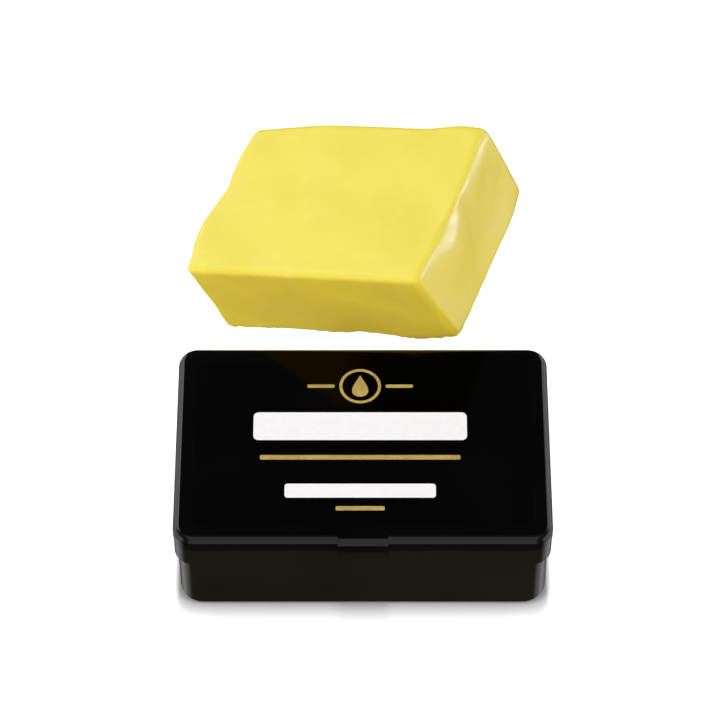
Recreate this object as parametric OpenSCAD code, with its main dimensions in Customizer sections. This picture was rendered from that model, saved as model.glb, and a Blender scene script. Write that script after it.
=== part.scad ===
// Clay bar for car detailing, with the hinged plastic case it is kept in.
// Units are millimetres, +Z is up. The origin is the middle of the case's underside.
// The case stands at the front. The bar stands behind it with its left lower edge on the table and
// its right end raised behind the lid.

/* [Case] */
// Overall width of the case, across the lid
case_width = 105; // [95:0.5:120]
// Overall depth of the case, across the lid
case_depth = 65.5; // [62:0.5:80]
// Overall height of the closed case
case_height = 34; // [31:0.5:40]
// Corner radius of the lid seen from above
corner_radius = 5.5; // [5:0.1:6.5]
// Distance of the sides of the base from the sides of the lid
body_inset = 0.85; // [0.6:0.05:1.2]
// Wall thickness of the rim of the base
base_wall = 1.5; // [1.2:0.1:2]
// Floor thickness of the base
base_floor = 1.6; // [1.2:0.1:2.4]
// Radius of the rounded lower edge of the base
foot_edge = 0.9; // [0.4:0.1:1.4]
// Height of the band around the base, just below the lid and flush with it
band_height = 7.2; // [4:0.1:9]
// Gap between the band and the lower edge of the closed lid
band_gap = 0.3; // [0.2:0.05:0.5]

/* [Lid] */
// Thickness of the lid's top panel
lid_panel = 1.6; // [1.5:0.1:2]
// Thickness of the lid's skirt
lid_wall = 1.0; // [0.8:0.1:1.2]
// Height of the lid, from the skirt's lower edge to the top
lid_height = 4.6; // [4.5:0.1:5.5]
// Radius of the rounded edge around the top of the lid
lid_edge = 2.1; // [1:0.05:2.4]
// Gap between the lid's skirt and the base
lid_gap = 0.3; // [0.25:0.05:0.5]
// Gap between the rim of the base and the underside of the closed lid
rim_gap = 0.3; // [0.25:0.05:0.6]

/* [Lift tab] */
// Width of the lift tab on the front of the lid
tab_width = 14; // [10:0.2:24]
// Distance the tab stands out from the front of the lid
tab_reach = 0.7; // [0.4:0.1:1.5]
// Radius of the shallow thumb scoop in the band below the tab
scoop_radius = 18; // [14:1:24]
// Depth of the thumb scoop
scoop_depth = 0.7; // [0.3:0.1:0.9]

/* [Hinge] */
// Distance of the hinge line from the back of the lid, and from the top of the lid
hinge_inset = 3.5; // [3.4:0.1:4]
// Radius of the two pegs moulded on the lid
peg_radius = 1.05; // [0.8:0.05:1.2]
// Running clearance around each peg
peg_clearance = 0.06; // [0.03:0.01:0.1]
// Radius of the rounded end of each hinge rib
rib_end_radius = 2; // [1.8:0.1:2.1]
// Thickness of each hinge rib
rib_thickness = 1.5; // [1.2:0.1:2]
// Distance of the outer face of each rib from the side of the lid
rib_inset = 4.6; // [4.6:0.1:6]

/* [Lid label] */
// Width of the label film on the lid
label_width = 94; // [60:1:96]
// Depth of the label film on the lid
label_depth = 54.5; // [40:0.5:56]
// Thickness of the label film
label_thickness = 0.14; // [0.1:0.02:0.3]
// Depth of the pocket the film is stuck into
label_pocket = 0.1; // [0.06:0.02:0.3]
// Corner radius of the label film
label_radius = 3; // [2:0.5:8]

/* [Clay bar] */
// Length of the bar of clay
bar_length = 80; // [60:0.5:90]
// Width of the bar of clay
bar_width = 58.3; // [40:0.1:59]
// Thickness of the bar of clay
bar_height = 28; // [18:0.5:29]
// Radius of the soft edges of the bar
bar_edge = 2.4; // [1.5:0.1:4]
// Turn of the bar about the upright direction, right end towards the case
bar_turn = 19; // [0:1:22]
// Tilt of the bar, lifting its right end
bar_tilt = 21.1; // [0:0.1:24]
// Distance from the middle of the case to the bar's front left lower corner, to the left
bar_left = 42; // [36:0.1:46]
// Distance from the back of the case to the same corner
bar_behind = 30.8; // [30:0.1:60]

/* [Hidden] */
$fn = 96;
e = 0.01;

lid_bottom = case_height - lid_height;
lid_inside = case_height - lid_panel;
back = case_depth / 2;
front = -case_depth / 2;

base_width = case_width - 2 * body_inset;
base_depth = case_depth - 2 * body_inset;
base_radius = corner_radius + 1.1;
rim_width = case_width - 2 * (lid_wall + lid_gap);
rim_depth = case_depth - 2 * (lid_wall + lid_gap);
rim_radius = corner_radius - lid_wall - lid_gap;
rim_z = lid_inside - rim_gap;
band_inset = 0.1;
band_top = lid_bottom - band_gap;

hinge_y = back - hinge_inset;
hinge_z = case_height - hinge_inset;
skirt_reach = hinge_z - lid_bottom;
skirt_sweep = sqrt(pow(hinge_inset, 2) + pow(skirt_reach, 2));
back_wall_z = hinge_z - skirt_sweep - 0.2;
back_cut_y = hinge_y - rib_end_radius - 0.4;

rib_x = case_width / 2 - rib_inset;
rib_front_y = hinge_y - 7.25;
rib_step_y = hinge_y - skirt_reach - 0.7;
boss_x = rib_x + 0.3;

module plan_rect(w, d, r) {
    square([w - 2 * r, d], center = true);
    square([w, d - 2 * r], center = true);
    for (x = [-1, 1], y = [-1, 1]) translate([x * (w / 2 - r), y * (d / 2 - r)]) circle(r);
}

// Section through a wall edge: r deep, h high, the top outer corner rounded with radius f
module edge_section(r, h, f) {
    square([r - f, h]);
    square([r, h - f]);
    translate([r - f, h - f]) circle(f);
}

// Slab with rounded corners in plan and a rounded top edge, standing on Z = 0
module soft_slab(w, d, h, r, f) {
    translate([-(w / 2 - r) - e, -(d / 2 - r) - e, 0]) cube([w - 2 * r + 2 * e, d - 2 * r + 2 * e, h]);
    for (q = [0:3]) {
        sx = (q == 0 || q == 3) ? 1 : -1;
        sy = q < 2 ? 1 : -1;
        out = (q % 2 == 0 ? w : d) / 2 - r;
        run = (q % 2 == 0 ? d : w) - 2 * r;
        translate([sx * (w / 2 - r), sy * (d / 2 - r), 0]) rotate([0, 0, 90 * q])
            rotate_extrude(angle = 90) edge_section(r, h, f);
        rotate([0, 0, 90 * q]) translate([out, run / 2, 0]) rotate([90, 0, 0])
            linear_extrude(run) edge_section(r, h, f);
    }
}

module along_x(x0, x1, y, z, r) {
    translate([x0, y, z]) rotate([0, 90, 0]) cylinder(r = r, h = x1 - x0);
}

// One hinge rib on the inside of the base, on the +X side
module hinge_rib() {
    x0 = rib_x - rib_thickness;
    difference() {
        union() {
            translate([x0, rib_front_y, base_floor / 2])
                cube([rib_thickness, rib_step_y - rib_front_y, rim_z - base_floor / 2]);
            translate([x0, rib_front_y, base_floor / 2])
                cube([rib_thickness, back - lid_wall - lid_gap - base_wall / 2 - rib_front_y,
                      back_wall_z - base_floor / 2]);
            translate([x0, rib_front_y, hinge_z - 1.8])
                cube([rib_thickness, hinge_y - rib_front_y, rim_z - hinge_z + 1.8]);
            along_x(x0, rib_x, hinge_y, hinge_z, rib_end_radius);
            translate([rib_x - e, rib_front_y, base_floor / 2])
                cube([rim_width / 2 - base_wall / 2 - rib_x, rib_thickness, rim_z - base_floor / 2]);
        }
        along_x(x0 - 1, rib_x + 1, hinge_y, hinge_z, peg_radius + peg_clearance);
    }
}

module base_shell() {
    difference() {
        union() {
            translate([0, 0, band_top - 0.5]) mirror([0, 0, 1])
                soft_slab(base_width, base_depth, band_top - 0.5, base_radius, foot_edge);
            translate([0, 0, band_top - band_height]) linear_extrude(rim_z - band_top + band_height)
                plan_rect(rim_width, rim_depth, rim_radius);
            translate([0, 0, band_top - band_height]) linear_extrude(band_height)
                plan_rect(case_width - 2 * band_inset, case_depth - 2 * band_inset,
                          corner_radius - band_inset);
        }
        translate([0, 0, base_floor]) linear_extrude(rim_z)
            plan_rect(rim_width - 2 * base_wall, rim_depth - 2 * base_wall, rim_radius - base_wall);
        // The back wall stops lower, so that the back of the lid can swing down past it
        translate([-case_width / 2 - 1, back_cut_y, back_wall_z])
            cube([case_width + 2, base_depth, rim_z]);
        // Thumb scoop in the band, under the lift tab
        along_x(-tab_width / 2, tab_width / 2, front + band_inset + scoop_depth - scoop_radius,
                lid_bottom - 0.4, scoop_radius);
        // Groove for the closing bead
        along_x(-11, 11, front + lid_wall - 0.1, rim_z - 1.6, 0.75);
    }
}

module base_tray() {
    color("#17160f") union() {
        base_shell();
        hinge_rib();
        mirror([1, 0, 0]) hinge_rib();
    }
}

// Boss and peg on the inside of the lid's skirt, on the +X side
module hinge_peg() {
    intersection() {
        union() {
            along_x(boss_x, case_width / 2, hinge_y, hinge_z, rib_end_radius);
            along_x(rib_x - rib_thickness + 0.1, case_width / 2, hinge_y, hinge_z, peg_radius);
        }
        linear_extrude(case_height - lid_panel / 2)
            plan_rect(case_width - lid_wall, case_depth - lid_wall, corner_radius - lid_wall / 2);
    }
}

module lid_shell() {
    difference() {
        union() {
            translate([0, 0, lid_bottom])
                soft_slab(case_width, case_depth, lid_height, corner_radius, lid_edge);
            // Lift tab, with the same rounded top edge as the lid
            translate([-tab_width / 2, front - tab_reach + corner_radius, lid_bottom])
                rotate([90, 0, 90]) mirror([1, 0, 0])
                linear_extrude(tab_width) edge_section(corner_radius, lid_height, lid_edge);
        }
        translate([0, 0, lid_bottom - 1]) linear_extrude(lid_inside - lid_bottom + 1)
            plan_rect(case_width - 2 * lid_wall, case_depth - 2 * lid_wall, corner_radius - lid_wall);
        // Shallow pocket for the label film
        translate([0, 0, case_height - label_pocket]) linear_extrude(1)
            plan_rect(label_width + 0.1, label_depth + 0.1, label_radius + 0.05);
        // Relief in the top panel over the rounded end of each hinge rib
        for (s = [-1, 1])
            translate([s * (rib_x - rib_thickness / 2) - rib_thickness / 2 - 0.3, hinge_y - 1.9, hinge_z])
                cube([rib_thickness + 0.6, hinge_inset - lid_wall + 1.9, rib_end_radius + 0.35]);
    }
}

module case_lid() {
    color("#0b0b0a") union() {
        lid_shell();
        hinge_peg();
        mirror([1, 0, 0]) hinge_peg();
        // Closing bead on the inside of the front skirt
        along_x(-10, 10, front + lid_wall - 0.1, rim_z - 1.6, 0.35);
    }
}

module lid_label() {
    color("#14110a") translate([0, 0, case_height - label_pocket]) linear_extrude(label_thickness)
        plan_rect(label_width, label_depth, label_radius);
}

// The bar lies along +X from its front left lower corner
module soft_block(l, w, h, r) {
    intersection() {
        linear_extrude(h) translate([l / 2, w / 2]) plan_rect(l, w, r);
        translate([0, w, 0]) rotate([90, 0, 0]) linear_extrude(w)
            translate([l / 2, h / 2]) plan_rect(l, h, r);
        rotate([90, 0, 90]) linear_extrude(l) translate([w / 2, h / 2]) plan_rect(w, h, r);
    }
}

module clay_bar() {
    // The rounded lower edge touches the table along its whole length
    sink = bar_edge * (sin(bar_tilt) + cos(bar_tilt) - 1);
    color("#e6d24e") translate([-bar_left, back + bar_behind, -sink])
        rotate([0, 0, -bar_turn]) rotate([0, -bar_tilt, 0])
        soft_block(bar_length, bar_width, bar_height, bar_edge);
}

base_tray();
case_lid();
lid_label();
clay_bar();
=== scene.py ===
# Clay bar and its glossy black hinged case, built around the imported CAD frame.
# All lengths are metres unless a name ends in _MM.
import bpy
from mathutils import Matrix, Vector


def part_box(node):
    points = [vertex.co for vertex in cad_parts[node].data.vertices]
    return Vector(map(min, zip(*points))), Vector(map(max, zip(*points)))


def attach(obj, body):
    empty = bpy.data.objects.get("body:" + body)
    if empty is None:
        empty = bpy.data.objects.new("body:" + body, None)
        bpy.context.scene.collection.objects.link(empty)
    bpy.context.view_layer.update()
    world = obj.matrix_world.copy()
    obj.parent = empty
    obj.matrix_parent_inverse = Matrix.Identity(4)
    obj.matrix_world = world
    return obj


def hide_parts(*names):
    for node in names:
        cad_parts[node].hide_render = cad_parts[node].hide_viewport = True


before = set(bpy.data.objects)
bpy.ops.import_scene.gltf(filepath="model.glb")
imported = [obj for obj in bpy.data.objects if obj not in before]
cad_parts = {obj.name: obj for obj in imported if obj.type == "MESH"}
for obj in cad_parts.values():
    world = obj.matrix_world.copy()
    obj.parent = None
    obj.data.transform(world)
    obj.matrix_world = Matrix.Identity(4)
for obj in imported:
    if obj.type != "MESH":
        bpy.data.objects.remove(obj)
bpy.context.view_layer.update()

import math

import bmesh
import bpy
from mathutils import Matrix, Vector, noise

MM = 0.001


# ---------------------------------------------------------------- node helpers
class Nodes:
    """A small builder for one node tree."""

    def __init__(self, tree):
        self.tree = tree
        tree.nodes.clear()

    def add(self, kind, **settings):
        node = self.tree.nodes.new(kind)
        for key, value in settings.items():
            setattr(node, key, value)
        return node

    def link(self, a, b):
        self.tree.links.new(a, b)

    def feed(self, socket, value):
        """Links an output, or sets a constant."""
        if isinstance(value, bpy.types.NodeSocket):
            self.link(value, socket)
        else:
            socket.default_value = value

    def math(self, operation, a, b=0.0):
        node = self.add("ShaderNodeMath", operation=operation)
        self.feed(node.inputs[0], a)
        self.feed(node.inputs[1], b)
        return node.outputs[0]

    def plus(self, a, b):
        return self.math("ADD", a, b)

    def times(self, a, b):
        return self.math("MULTIPLY", a, b)

    def blend(self, amount, a, b):
        """Number a where amount is 0, and b where it is 1."""
        return self.plus(self.times(self.math("SUBTRACT", 1.0, amount), a), self.times(amount, b))

    def smooth(self, value, low, high, to_low=0.0, to_high=1.0):
        """Smooth step of value from low to high."""
        node = self.add("ShaderNodeMapRange", interpolation_type="SMOOTHSTEP")
        self.feed(node.inputs["Value"], value)
        node.inputs["From Min"].default_value = low
        node.inputs["From Max"].default_value = high
        node.inputs["To Min"].default_value = to_low
        node.inputs["To Max"].default_value = to_high
        return node.outputs["Result"]

    def parts(self, vector):
        """The three numbers of a vector."""
        node = self.add("ShaderNodeSeparateXYZ")
        self.link(vector, node.inputs[0])
        return node.outputs

    def coords(self, scale=(1, 1, 1), turn=0.0):
        """Object coordinates, scaled, and turned about Z."""
        place = self.add("ShaderNodeTexCoord")
        mapping = self.add("ShaderNodeMapping")
        mapping.inputs["Scale"].default_value = scale
        mapping.inputs["Rotation"].default_value = (0, 0, turn)
        self.link(place.outputs["Object"], mapping.inputs["Vector"])
        return mapping.outputs["Vector"]

    def noise(self, size, detail=3.0, rough=0.5, stretch=(1, 1, 1), turn=0.0):
        """Noise whose blobs are about size metres across."""
        node = self.add("ShaderNodeTexNoise")
        node.inputs["Scale"].default_value = 1.0 / size
        node.inputs["Detail"].default_value = detail
        node.inputs["Roughness"].default_value = rough
        self.link(self.coords(stretch, turn), node.inputs["Vector"])
        return node.outputs[0]

    def mix(self, factor, a, b):
        """Colour a where factor is 0, and b where it is 1."""
        node = self.add("ShaderNodeMix", data_type="RGBA")
        self.feed(node.inputs[0], factor)
        self.feed(node.inputs[6], a)
        self.feed(node.inputs[7], b)
        return node.outputs[2]

    def bump(self, height, strength, distance, normal=None):
        node = self.add("ShaderNodeBump")
        node.inputs["Strength"].default_value = strength
        node.inputs["Distance"].default_value = distance
        self.link(height, node.inputs["Height"])
        if normal is not None:
            self.link(normal, node.inputs["Normal"])
        return node.outputs["Normal"]

    def principled(self, color, roughness, normal=None, **constants):
        """The shader, with every constant set on its own socket."""
        shader = self.add("ShaderNodeBsdfPrincipled")
        self.feed(shader.inputs["Base Color"], color)
        self.feed(shader.inputs["Roughness"], roughness)
        if normal is not None:
            self.link(normal, shader.inputs["Normal"])
        for key, value in constants.items():
            shader.inputs[key.replace("_", " ")].default_value = value
        out = self.add("ShaderNodeOutputMaterial")
        self.link(shader.outputs[0], out.inputs["Surface"])
        return shader

    def background(self, color, strength):
        node = self.add("ShaderNodeBackground")
        node.inputs["Color"].default_value = color
        self.feed(node.inputs["Strength"], strength)
        return node.outputs[0]


def new_material(name):
    material = bpy.data.materials.new(name)
    material.use_nodes = True
    return material, Nodes(material.node_tree)


def rgb(r, g, b):
    return (r, g, b, 1.0)


# ------------------------------------------------------------------- materials
WHITE = rgb(1, 1, 1)
BASE_BLACKS = (rgb(0.0078, 0.0074, 0.0046), rgb(0.0100, 0.0095, 0.0064))
LID_BLACKS = (rgb(0.0013, 0.0013, 0.0013), rgb(0.0020, 0.0020, 0.0019))
FILM_BLACKS = (rgb(0.0013, 0.0013, 0.0013), rgb(0.0017, 0.0017, 0.0016))
INK_WHITES = (rgb(0.945, 0.925, 0.88), rgb(0.98, 0.96, 0.92))
INK_GOLDS = (rgb(0.55, 0.37, 0.075), rgb(0.68, 0.48, 0.12))
GOLD_FLAKE = rgb(0.84, 0.64, 0.22)
CLAY_YELLOWS = (rgb(0.805, 0.685, 0.064), rgb(0.840, 0.720, 0.074))
CLAY_PALE = rgb(0.865, 0.750, 0.090)
CLAY_SOFTNESS = (1.0, 0.75, 0.18)
PLASTIC_IOR = 1.46
PLASTIC_SPECULAR = 0.42

# The wedge, where a yellow reflection is painted on the black lid: first on its cold side, then on
# its warm side
WEDGE_TINTS = (rgb(0.0006, 0.0005, 0.0), rgb(0.0048, 0.0030, 0.0001))
WEDGE_MIRRORED = (rgb(0.75, 0.68, 0.05), rgb(1.0, 0.75, 0.05))
# Its edges, each as where a smooth step starts and ends
WEDGE_LEFT_SLOPE, WEDGE_LEFT_EDGE = 0.86, (0.0050, 0.0085)
WEDGE_RIGHT_SLOPE, WEDGE_RIGHT_EDGE = 0.33, (-0.0265, -0.0235)
WEDGE_FRONT_EDGE = (0.001, 0.009)
WEDGE_LOWER_EDGE = (0.0326, 0.0331)
WEDGE_WARM_EDGE = (0.010, -0.004)
WEDGE_CLOUD_SIZE = 0.012
WEDGE_CLOUD_SHIFT = 0.012

# Most patterns change over the middle of their noise
BROAD = (0.3, 0.7)


def yellow_reflection_wedge(n):
    """A soft-edged wedge on the outside of the lid, from its back to near its middle, where a
    yellow reflection is painted.

    Returns how much of the wedge is at a point, and how warm it is there."""
    x, y, z = n.parts(n.coords())
    left = n.plus(y, n.times(x, WEDGE_LEFT_SLOPE))
    right = n.math("SUBTRACT", n.times(y, WEDGE_RIGHT_SLOPE), x)
    wedge = n.times(n.smooth(left, *WEDGE_LEFT_EDGE), n.smooth(right, *WEDGE_RIGHT_EDGE))
    wedge = n.times(wedge, n.smooth(y, *WEDGE_FRONT_EDGE))
    wedge = n.times(wedge, n.smooth(z, *WEDGE_LOWER_EDGE))
    # The painted reflection is warmer on the left, nearly black on the right
    cloud = n.times(n.noise(WEDGE_CLOUD_SIZE), WEDGE_CLOUD_SHIFT)
    return wedge, n.smooth(n.plus(x, cloud), *WEDGE_WARM_EDGE)


def paint_yellow_reflection(n, shader, color):
    """Paints a yellow reflection into the wedge of a black surface: tints its colour, and what it
    mirrors, a very dark gold.
    """
    wedge, warmth = yellow_reflection_wedge(n)
    tint = n.mix(warmth, *WEDGE_TINTS)
    mirrored = n.mix(warmth, *WEDGE_MIRRORED)
    # Painted reflection: both the colour and the specular tint turn dark gold inside the wedge
    n.link(n.mix(wedge, color, tint), shader.inputs["Base Color"])
    n.link(n.mix(wedge, WHITE, mirrored), shader.inputs["Specular Tint"])


def glossy_plastic(name, blacks, yellow_reflection=False):
    """Moulded black plastic: slow flow variation, faint rub marks and dust-fine grain."""
    material, n = new_material(name)
    flow = n.noise(size=0.030, detail=2.0)
    rub = n.noise(size=0.0035, detail=6.0, rough=0.62, stretch=(1, 0.22, 1), turn=0.5)
    rub = n.smooth(rub, low=0.56, high=0.80)
    grain = n.noise(size=0.00035, detail=2.0)
    color = n.mix(n.smooth(flow, *BROAD), *blacks)
    roughness = n.smooth(flow, low=0.25, high=0.75, to_low=0.10, to_high=0.15)
    roughness = n.plus(roughness, n.times(rub, 0.10))
    normal = n.bump(flow, strength=0.10, distance=0.0006)
    normal = n.bump(grain, strength=0.05, distance=0.00003, normal=normal)
    shader = n.principled(color, roughness, normal, IOR=PLASTIC_IOR,
                          Specular_IOR_Level=PLASTIC_SPECULAR)
    # Where asked, a yellow reflection is painted in the wedge
    if yellow_reflection:
        paint_yellow_reflection(n, shader, color)
    return material


def label_film():
    """Glossy black film with hairline scuffs, and a yellow reflection painted in the wedge."""
    material, n = new_material("label_film")
    flow = n.noise(size=0.040, detail=2.0)
    color = n.mix(n.smooth(flow, *BROAD), *FILM_BLACKS)
    hair = n.noise(size=0.0030, detail=7.0, rough=0.65, stretch=(1, 0.12, 1), turn=-0.4)
    hair = n.smooth(hair, low=0.60, high=0.82)
    roughness = n.plus(n.smooth(flow, *BROAD, to_low=0.05, to_high=0.08), n.times(hair, 0.07))
    normal = n.bump(flow, strength=0.06, distance=0.0006)
    shader = n.principled(color, roughness, normal, IOR=PLASTIC_IOR,
                          Specular_IOR_Level=PLASTIC_SPECULAR)
    # A yellow reflection painted in the wedge
    paint_yellow_reflection(n, shader, color)
    return material


def white_ink():
    """Screen-printed white ink: even, with a fine mesh texture and slight thin spots."""
    material, n = new_material("white_ink")
    thin = n.noise(size=0.0016, detail=4.0)
    color = n.mix(n.smooth(thin, low=0.25, high=0.75), *INK_WHITES)
    mesh = n.noise(size=0.00022, detail=1.0)
    n.principled(color, n.smooth(thin, *BROAD, to_low=0.36, to_high=0.42),
                 n.bump(mesh, strength=0.15, distance=0.00001),
                 IOR=1.5, Specular_IOR_Level=0.4)
    return material


def gold_ink():
    """Metallic gold ink with fine flake."""
    material, n = new_material("gold_ink")
    flake = n.noise(size=0.0003, rough=0.7)
    cloud = n.noise(size=0.004, detail=2.0)
    base = n.mix(n.smooth(cloud, *BROAD), *INK_GOLDS)
    color = n.mix(n.smooth(flake, low=0.45, high=0.75), base, GOLD_FLAKE)
    n.principled(color, n.smooth(flake, *BROAD, to_low=0.30, to_high=0.48),
                 n.bump(flake, strength=0.3, distance=0.00002), Metallic=0.35, IOR=1.5)
    return material


def clay():
    """Soft waxy clay: even yellow with cloudy mottling, smears and a broken satin sheen."""
    material, n = new_material("clay")
    cloud = n.noise(size=0.020, detail=4.0, rough=0.55)
    mottle = n.noise(size=0.0045, detail=5.0, rough=0.6)
    color = n.mix(n.smooth(cloud, *BROAD), *CLAY_YELLOWS)
    color = n.mix(n.times(n.smooth(mottle, low=0.42, high=0.72), 0.35), color, CLAY_PALE)
    smear = n.noise(size=0.0030, detail=6.0, rough=0.6, stretch=(0.30, 1.0, 1.0), turn=0.35)
    roughness = n.plus(n.smooth(smear, low=0.30, high=0.72, to_low=0.27, to_high=0.37),
                       n.times(n.smooth(cloud, low=0.35, high=0.65), 0.06))
    pores = n.noise(size=0.0006, detail=4.0, rough=0.65)
    normal = n.bump(smear, strength=0.10, distance=0.0005)
    normal = n.bump(pores, strength=0.10, distance=0.00012, normal=normal)
    shader = n.principled(color, roughness, normal, IOR=1.47, Specular_IOR_Level=0.6,
                          Subsurface_Weight=0.22, Subsurface_Scale=0.0035)
    shader.inputs["Subsurface Radius"].default_value = CLAY_SOFTNESS
    return material


def give(name, material):
    """Puts one material on a CAD node."""
    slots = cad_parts[name].data.materials
    if not slots:
        slots.append(material)
    for index in range(len(slots)):
        slots[index] = material


def dress_case():
    give("base_tray", glossy_plastic("base_plastic", BASE_BLACKS))
    # The lid gets the painted yellow reflection in its wedge
    give("case_lid", glossy_plastic("lid_plastic", LID_BLACKS, yellow_reflection=True))
    give("lid_label", label_film())


# -------------------------------------------------------------- mesh helpers
WELD_DISTANCE = 1e-7


def piece(name, verts, faces, material, body, smooth=False):
    mesh = bpy.data.meshes.new(name)
    mesh.from_pydata([tuple(v) for v in verts], [], faces)
    mesh.validate()
    bm = bmesh.new()
    bm.from_mesh(mesh)
    bmesh.ops.remove_doubles(bm, verts=bm.verts, dist=WELD_DISTANCE)
    bmesh.ops.recalc_face_normals(bm, faces=bm.faces)
    bm.to_mesh(mesh)
    bm.free()
    mesh.materials.append(material)
    for polygon in mesh.polygons:
        polygon.use_smooth = smooth
    obj = bpy.data.objects.new(name, mesh)
    bpy.context.scene.collection.objects.link(obj)
    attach(obj, body)
    return obj


# --------------------------------------------------------------- print on lid
PRINT_HEIGHT = 0.025 * MM
PRINT_SINK = 0.01 * MM
PRINT_X = -0.75 * MM

# Plain bars: name, ink, then how far the middle is behind the label's middle, width, height and
# corner radius
PRINT_BARS_MM = (
    ("print_bar_large", "white", 5.4, 60.0, 9.4, 1.5),
    ("print_bar_small", "white", -16.2, 42.0, 4.6, 0.9),
    ("print_rule_long", "gold", -5.1, 56.0, 1.5, 0.4),
    ("print_rule_short", "gold", -22.0, 13.6, 1.4, 0.4),
)
RING_Y_MM = 19.1
RING_RADII_MM = (5.9, 5.05)
DROP_RISE_MM = 0.1
DROP_SIZE_MM = (5.4, 7.4)
# Fuller drops have a larger belly, and pointed ones a stronger pinch
DROP_BELLY = 0.62
DROP_PINCH = 1.6
SIDE_RULE_X_MM = 11.1
SIDE_RULE_SIZE_MM = (7.8, 1.1, 0.5)


def plate_loops(outer, inner=None):
    """Vertices and faces of a thin flat plate with one outline and maybe one hole."""
    base, top = -PRINT_SINK, PRINT_HEIGHT
    n = len(outer)
    verts = [Vector((x, y, base)) for x, y in outer] + [Vector((x, y, top)) for x, y in outer]
    faces = [(i, (i + 1) % n, n + (i + 1) % n, n + i) for i in range(n)]
    if inner is None:
        faces += [tuple(range(n - 1, -1, -1)), tuple(range(n, 2 * n))]
        return verts, faces
    verts += [Vector((x, y, base)) for x, y in inner] + [Vector((x, y, top)) for x, y in inner]
    for i in range(n):
        j = (i + 1) % n
        faces += [(2 * n + j, 2 * n + i, 3 * n + i, 3 * n + j),
                  (n + i, n + j, 3 * n + j, 3 * n + i),
                  (j, i, 2 * n + i, 2 * n + j)]
    return verts, faces


def round_bar(cx, cy, width, height, radius, steps=10):
    """Outline of a bar with rounded corners."""
    points = []
    for quarter, (sx, sy) in enumerate(((1, 1), (-1, 1), (-1, -1), (1, -1))):
        ox, oy = cx + sx * (width / 2 - radius), cy + sy * (height / 2 - radius)
        for k in range(steps + 1):
            a = (quarter + k / steps) * math.pi / 2
            points.append((ox + radius * math.cos(a), oy + radius * math.sin(a)))
    return points


def circle(cx, cy, radius, steps=96):
    return [(cx + radius * math.cos(2 * math.pi * k / steps),
             cy + radius * math.sin(2 * math.pi * k / steps)) for k in range(steps)]


def drop(cx, cy, width, height, steps=72):
    """Outline of a water drop with its point towards the back."""
    points = []
    for k in range(steps):
        a = 2 * math.pi * k / steps
        pinch = math.sin(a / 2) ** DROP_PINCH
        points.append((cx + width * DROP_BELLY * math.sin(a) * pinch,
                       cy + height / 2 * math.cos(a)))
    return points[::-1]


def print_on_lid():
    """A generic print: two solid bars, two thin rules, and a drop in a ring between two rules."""
    (x0, y0, _), (x1, y1, top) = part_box("lid_label")
    origin = Vector(((x0 + x1) / 2 + PRINT_X, (y0 + y1) / 2, top))
    inks = {"white": white_ink(), "gold": gold_ink()}

    def put(name, ink, outer, inner=None):
        def scaled(loop):
            return [(x * MM, y * MM) for x, y in loop]
        verts, faces = plate_loops(scaled(outer), scaled(inner) if inner else None)
        verts = [v + origin for v in verts]
        return piece(name, verts, faces, inks[ink], "lid")

    for name, ink, y, width, height, radius in PRINT_BARS_MM:
        put(name, ink, round_bar(0, y, width, height, radius))
    put("print_ring", "gold", *(circle(0, RING_Y_MM, radius) for radius in RING_RADII_MM))
    put("print_drop", "gold", drop(0, RING_Y_MM + DROP_RISE_MM, *DROP_SIZE_MM))
    for side, label in ((-1, "left"), (1, "right")):
        put("print_side_rule_" + label, "gold",
            round_bar(side * SIDE_RULE_X_MM, RING_Y_MM, *SIDE_RULE_SIZE_MM))


# -------------------------------------------------------------------- clay bar
BAR_MM = Vector((80.0, 58.3, 28.0))
BAR_TURN = math.radians(-19.0)
BAR_TILT = math.radians(-21.1)
GRID_MM = 0.75

# The soft edges: their radius, how much it varies, and how fast along the edge
EDGE_RADIUS_MM = 2.0
EDGE_CHANGE_MM = 0.5
EDGE_CHANGE_RATE = 0.11

# How far each corner of the bar is pulled out of square, in mm, by (right, back, top)
CORNER_PULL_MM = {
    (0, 0, 1): (-1.4, 0.0, 0.0), (1, 0, 1): (-3.8, -1.6, 0.0), (0, 1, 1): (-0.7, 0.2, 0.0),
    (1, 1, 1): (-1.4, 0.6, 0.0), (0, 0, 0): (1.1, 0.9, 0.0), (1, 0, 0): (-0.1, -0.2, 0.0),
    (1, 1, 0): (0.6, 0.0, 0.0),
}

# Places on the edges with another radius: centre in parts of the bar, reach and extra radius in mm
SOFT_SPOTS = (
    ((0.0, 1.0, 1.0), (9, 9, 9), 1.6),
    ((1.0, 1.0, 1.0), (6, 6, 6), 1.4),
    ((1.0, 0.45, 1.0), (7, 24, 7), -1.0),
    ((1.0, 1.0, 0.0), (8, 8, 8), 0.6),
    ((1.0, 0.0, 0.0), (7, 7, 7), 1.2),
)

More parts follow.
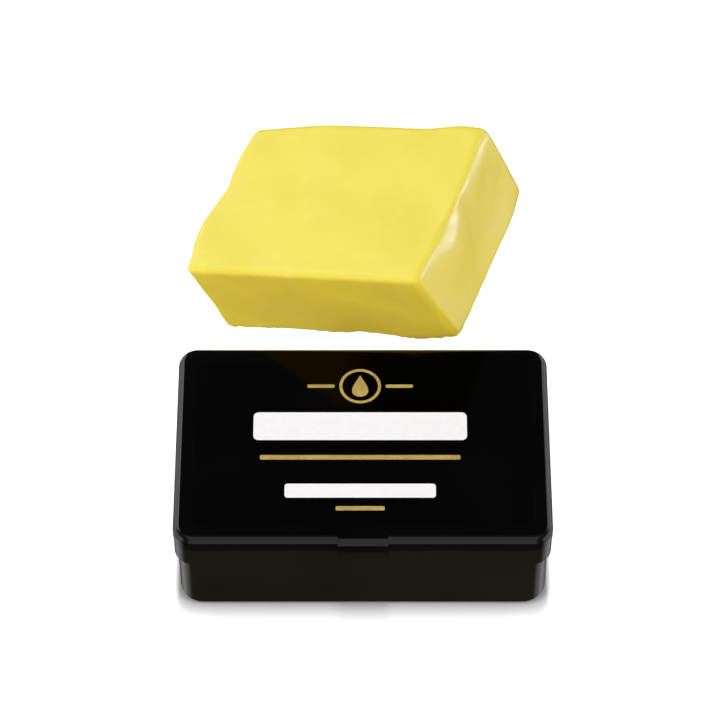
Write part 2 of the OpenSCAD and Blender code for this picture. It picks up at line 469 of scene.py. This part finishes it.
# Dents and swells: centre in parts of the bar, reach in mm, and the way a point moves in mm
DENTS = (
    ((0.0, 0.57, 1.0), (5.0, 3.5, 7.0), (0.7, 0.0, -0.10)),
    ((0.0, 0.30, 1.0), (7.0, 10.0, 9.0), (-2.0, 0.0, 0.05)),
    ((0.38, 1.0, 1.0), (10.0, 6.0, 5.0), (0.0, 0.7, 0.10)),
    ((0.70, 1.0, 1.0), (10.0, 6.0, 5.0), (0.0, -0.35, -0.15)),
    ((0.90, 1.0, 1.0), (8.0, 6.0, 6.0), (0.0, 0.6, 0.0)),
    ((1.0, 0.50, 1.0), (5.0, 3.6, 5.0), (0.45, 0.0, 0.12)),
    ((1.0, 0.32, 1.0), (14.0, 8.5, 3.0), (-1.25, 0.0, 0.0)),
    ((1.0, 0.33, 0.75), (14.0, 10.0, 12.0), (2.3, 0.0, 0.0)),
    ((1.0, 0.80, 1.0), (14.0, 10.0, 2.6), (-0.8, 0.0, 0.0)),
    ((1.0, 0.68, 1.0), (14.0, 8.0, 12.0), (0.9, 0.0, 0.0)),
    ((0.80, 0.0, 0.0), (9.0, 5.0, 3.5), (0.0, -0.3, -1.0)),
    ((0.55, 0.0, 0.0), (7.0, 5.0, 3.5), (0.0, 0.2, 0.35)),
    ((0.0, 0.0, 0.45), (5.0, 6.0, 8.0), (0.7, 0.0, 0.0)),
    ((1.0, 0.72, 0.0), (8.0, 12.0, 8.0), (1.0, 0.0, 0.0)),
    ((1.0, 1.0, 0.55), (6.0, 7.0, 7.0), (-0.2, -0.2, 0.0)),
)

# Waves over the surface: height, how fast they change, and which stretch of the noise they use
SLOW_WAVE_MM, SLOW_WAVE_RATE, SLOW_WAVE_SHIFT = 0.42, 0.060, Vector((3.1, 7.7, 1.3))
SIDE_WAVE_MM, SIDE_WAVE_RATE, SIDE_WAVE_SHIFT = 0.20, 0.17, Vector((9.4, 2.2, 5.8))
# How much weaker the side waves are on top, and all waves are on the pressed right end
TOP_CALM = 0.72
END_CALM = 0.6

# The torn lower front edge: how far up and back it reaches, and the tears themselves
TORN_UP_MM = 1.6
TORN_BACK_MM = 14.0
TEAR_MM = 0.40
TEAR_RATE = 0.42
FINE_TEAR_RATE, FINE_TEAR_SHIFT = 0.8, Vector((4, 1, 8))


def bell(p, centre, reach):
    """1 at the centre, falling smoothly to 0 over the reach."""
    total = 0.0
    for axis in range(3):
        total += ((p[axis] - centre[axis] * BAR_MM[axis]) / reach[axis]) ** 2
    return math.exp(-total)


def box_grid():
    """Points and faces on the six sides of the bar, in mm."""
    counts = [max(2, round(side / GRID_MM)) for side in BAR_MM]
    verts, faces = [], []
    for axis in range(3):
        u, v = (axis + 1) % 3, (axis + 2) % 3
        nu, nv = counts[u], counts[v]
        for end in (0, 1):
            start = len(verts)
            for i in range(nu + 1):
                for j in range(nv + 1):
                    p = [0.0, 0.0, 0.0]
                    p[axis] = end * BAR_MM[axis]
                    p[u] = BAR_MM[u] * i / nu
                    p[v] = BAR_MM[v] * j / nv
                    verts.append(Vector(p))
            for i in range(nu):
                for j in range(nv):
                    a = start + i * (nv + 1) + j
                    quad = (a, a + nv + 1, a + nv + 2, a + 1)
                    faces.append(quad if end else quad[::-1])
    return verts, faces


def shape_point(p):
    """Moves a point of the plain box onto the hand-cut bar."""
    radius = EDGE_RADIUS_MM + EDGE_CHANGE_MM * noise.noise(p * EDGE_CHANGE_RATE)
    for centre, reach, extra in SOFT_SPOTS:
        radius += extra * bell(p, centre, reach)
    inner = Vector([min(max(p[k], radius), BAR_MM[k] - radius) for k in range(3)])
    out = (p - inner).normalized()
    q = inner + out * radius
    parts = [q[k] / BAR_MM[k] for k in range(3)]
    pull = Vector((0, 0, 0))
    for corner, offset in CORNER_PULL_MM.items():
        weight = 1.0
        for k in range(3):
            weight *= parts[k] if corner[k] else 1 - parts[k]
        pull += weight * Vector(offset)
    for centre, reach, offset in DENTS:
        pull += bell(p, centre, reach) * Vector(offset)
    side = 1.0 - abs(out.z) * TOP_CALM
    wave = SLOW_WAVE_MM * noise.noise(q * SLOW_WAVE_RATE + SLOW_WAVE_SHIFT)
    wave += SIDE_WAVE_MM * side * noise.noise(q * SIDE_WAVE_RATE + SIDE_WAVE_SHIFT)
    wave *= 1.0 - END_CALM * max(0.0, out.x)
    low = math.exp(-((p.z / TORN_UP_MM) ** 2) - (p.y / TORN_BACK_MM) ** 2)
    torn = low * (TEAR_MM * noise.noise(q * TEAR_RATE)
                  + TEAR_MM * noise.noise(q * FINE_TEAR_RATE + FINE_TEAR_SHIFT))
    return q + pull + out * wave + Vector((0, 0, torn))


def build_clay():
    low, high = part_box("clay_bar")
    verts, faces = box_grid()
    verts = [shape_point(p) * MM for p in verts]
    turn = Matrix.Rotation(BAR_TURN, 4, "Z") @ Matrix.Rotation(BAR_TILT, 4, "Y")
    centre = (Vector(low) + Vector(high)) / 2
    half = BAR_MM * MM / 2
    placed = [turn @ (v - half) + centre for v in verts]
    # Nothing reaches below the table
    for v in placed:
        v.z = max(v.z, low[2])
    block = piece("clay_block", placed, faces, clay(), "clay", smooth=True)
    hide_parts("clay_bar")
    return block


# ---------------------------------------------------------------------- camera
CAMERA_ELEVATION = math.radians(54.7)
CAMERA_DISTANCE = 0.973
CAMERA_TARGET = Vector((-0.0008, 0.0523, 0.0))
CAMERA_LENS = 163.3
CAMERA_SENSOR = 36.0
CAMERA_SIGHT = 100.0


def make_camera():
    data = bpy.data.cameras.new("camera")
    data.lens = CAMERA_LENS
    data.sensor_width = CAMERA_SENSOR
    data.clip_end = CAMERA_SIGHT
    camera = bpy.data.objects.new("camera", data)
    away = Vector((0, -math.cos(CAMERA_ELEVATION), math.sin(CAMERA_ELEVATION)))
    camera.location = CAMERA_TARGET + away * CAMERA_DISTANCE
    camera.rotation_euler = (math.pi / 2 - CAMERA_ELEVATION, 0, 0)
    bpy.context.scene.collection.objects.link(camera)
    bpy.context.scene.camera = camera


# ---------------------------------------------------------------------- lights
AIM = (0, 0.04, 0.02)
OVERHEAD = {"location": (-0.76, 0.12, 1.04), "target": AIM, "size": (0.9, 0.8),
            "power": 9.2, "color": (0.96, 0.965, 1.14)}
RIGHT_FILL = {"location": (1.05, -0.35, 0.10), "target": AIM, "size": (0.8, 0.6),
              "power": 5.7, "color": (1.0, 0.88, 0.62)}
# Low in front
FRONT_FILL = {"location": (-0.42, -1.15, -0.12), "target": AIM, "size": (0.9, 0.5),
              "power": 6.7, "color": (1.0, 0.78, 0.42)}
# A soft box high on the right
EDGE_BOX = {"location": (1.17, 0.35, 0.27), "target": (0.03, 0.05, 0.04), "size": (0.42, 0.50),
            "power": 7.8, "color": (0.58, 0.64, 1.0)}
# High over the table, long from front to back and narrow
TABLE_KEY = {"location": (0.0, 0.25, 4.0), "target": (0.0, 0.25, 0.0), "size": (0.25, 1.15),
             "power": 210.0, "color": (1.0, 1.0, 1.0)}


def area_light(name, location, target, size, power, color, receivers, blockers=None):
    data = bpy.data.lights.new(name, "AREA")
    data.shape = "RECTANGLE"
    data.size, data.size_y = size
    data.energy = power
    data.color = color
    lamp = bpy.data.objects.new(name, data)
    lamp.location = location
    lamp.rotation_euler = (Vector(target) - Vector(location)).to_track_quat("-Z", "Y").to_euler()
    lamp.visible_glossy = False
    lamp.visible_camera = False
    lamp.light_linking.receiver_collection = receivers
    lamp.light_linking.blocker_collection = blockers
    bpy.context.scene.collection.objects.link(lamp)
    return lamp


def linked(name, objects, state="INCLUDE"):
    """A collection that light linking reads."""
    collection = bpy.data.collections.new(name)
    for obj in objects:
        collection.objects.link(obj)
    for entry in collection.collection_objects:
        entry.light_linking.link_state = state
    return collection


def make_lights(floor, clay_block):
    case = [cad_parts[name] for name in ("base_tray", "case_lid", "lid_label")]
    not_floor = linked("all_but_floor", [floor], "EXCLUDE")
    area_light("overhead", **OVERHEAD, receivers=not_floor)
    area_light("right_fill", **RIGHT_FILL, receivers=not_floor)
    # Neither the case nor the table shades the bar from the front fill
    area_light("front_fill", **FRONT_FILL, receivers=not_floor,
               blockers=linked("all_but_case_and_floor", case + [floor], "EXCLUDE"))
    # Only the clay mirrors the edge box, along its raised edge
    mirrored = area_light("edge_box", **EDGE_BOX, receivers=linked("clay_only", [clay_block]))
    mirrored.visible_diffuse = False
    mirrored.visible_glossy = True
    # The table has a light of its own, which only the case shades
    area_light("table_key", **TABLE_KEY, receivers=linked("floor_only", [floor]),
               blockers=linked("case_only", case))


# ----------------------------------------------------------------------- world
# Strengths of what the gloss mirrors, and of the plain light on everything
AMBIENT = 0.42
SEEN_BACKDROP = 1.0
STUDIO_COLOR = rgb(1.0, 0.99, 0.985)
FRONT_BOX = 0.80
SIDE_BOX = 1.6
FRONT_CORNERS = 0.12
BACK_MIDDLE = 0.03
BACK_BOX_LOW, BACK_BOX_HIGH = 0.12, 2.1
STRIP = 2.5
GROUND_NEAR, GROUND_FAR = 0.86, 0.06
GROUND_LEAST = 0.04
GROUND_FAR_OUT = 0.30


def studio_map(n):
    """Soft boxes in front and at the sides, dark between and behind, by direction."""
    x, y, z = n.parts(n.add("ShaderNodeTexCoord").outputs["Generated"])
    sideways = n.math("ABSOLUTE", x)
    # In front: one wide box, one at each side, and dim corners between them
    front_box = n.times(n.smooth(sideways, 0.40, 0.22), n.smooth(y, 0.08, -0.08))
    side_box = n.times(n.smooth(sideways, 0.62, 0.80), n.smooth(z, 0.62, 0.40))
    ahead = n.plus(n.times(front_box, FRONT_BOX), n.times(side_box, SIDE_BOX))
    ahead = n.plus(ahead, FRONT_CORNERS)
    # Behind: dark in the middle, which the flat lid mirrors, and bright at the sides
    middle = n.smooth(y, 0.55, 0.62, 0.0, BACK_MIDDLE)
    back_box = n.times(n.smooth(sideways, 0.39, 0.46),
                       n.smooth(z, -0.80, 0.30, BACK_BOX_LOW, BACK_BOX_HIGH))
    strip = n.times(n.smooth(x, -0.36, -0.42), n.smooth(x, -0.60, -0.50))
    behind = n.plus(n.plus(middle, back_box), n.times(strip, n.smooth(y, 0.64, 0.58, 0.0, STRIP)))
    sky = n.blend(n.smooth(y, 0.22, 0.40), ahead, behind)
    # Below: dark in front, pale at the sides, fading behind
    pale = n.times(n.smooth(sideways, 0.44, 0.58), n.smooth(y, -0.42, -0.28))
    pale = n.math("MAXIMUM", pale, n.smooth(y, -0.02, 0.12))
    # Dimmer far out, where only the raised end of the bar mirrors it
    pale = n.times(pale, n.smooth(sideways, 0.95, 0.62, GROUND_FAR_OUT, 1.0))
    ground = n.times(pale, n.smooth(y, 0.10, 0.52, GROUND_NEAR, GROUND_FAR))
    ground = n.plus(ground, GROUND_LEAST)
    return n.blend(n.smooth(z, -0.50, -0.36), ground, sky)


def make_world():
    """The studio that the gloss mirrors; diffuse rays and the camera meet plain white instead."""
    world = bpy.data.worlds.new("studio")
    bpy.context.scene.world = world
    world.use_nodes = True
    n = Nodes(world.node_tree)
    light = n.background(STUDIO_COLOR, studio_map(n))
    seen = n.add("ShaderNodeLightPath")
    for ray, strength in (("Is Diffuse Ray", AMBIENT), ("Is Camera Ray", SEEN_BACKDROP)):
        switch = n.add("ShaderNodeMixShader")
        n.link(seen.outputs[ray], switch.inputs[0])
        n.link(light, switch.inputs[1])
        n.link(n.background(WHITE, strength), switch.inputs[2])
        light = switch.outputs[0]
    out = n.add("ShaderNodeOutputWorld")
    n.link(light, out.inputs["Surface"])


# ----------------------------------------------------------------------- table
FLOOR_COLOR = rgb(0.80, 0.80, 0.80)
FLOOR_ROUGHNESS = 0.9
FLOOR_RADIUS = 12.0
FLOOR_GLOW_FROM, FLOOR_GLOW_TO = 0.30, 1.30
FLOOR_GLOW_NEAR, FLOOR_GLOW_FAR = 0.02, 1.0


def make_floor():
    """A wide pale table top; far from the object it glows, so that it has no visible edge."""
    material, n = new_material("floor")
    place = n.add("ShaderNodeVectorMath", operation="LENGTH")
    n.link(n.coords(), place.inputs[0])
    glow = n.smooth(place.outputs["Value"], FLOOR_GLOW_FROM, FLOOR_GLOW_TO,
                    FLOOR_GLOW_NEAR, FLOOR_GLOW_FAR)
    shader = n.principled(FLOOR_COLOR, FLOOR_ROUGHNESS, Specular_IOR_Level=0.0)
    shader.inputs["Emission Color"].default_value = WHITE
    n.link(glow, shader.inputs["Emission Strength"])
    bm = bmesh.new()
    bmesh.ops.create_circle(bm, cap_ends=True, cap_tris=True, segments=96, radius=FLOOR_RADIUS)
    mesh = bpy.data.meshes.new("floor")
    bm.to_mesh(mesh)
    bm.free()
    mesh.materials.append(material)
    floor = bpy.data.objects.new("floor", mesh)
    floor.visible_glossy = False
    floor.visible_diffuse = False
    bpy.context.scene.collection.objects.link(floor)
    return floor


make_camera()
make_world()
dress_case()
print_on_lid()
make_lights(make_floor(), build_clay())
bpy.context.scene.view_settings.view_transform = "Standard"
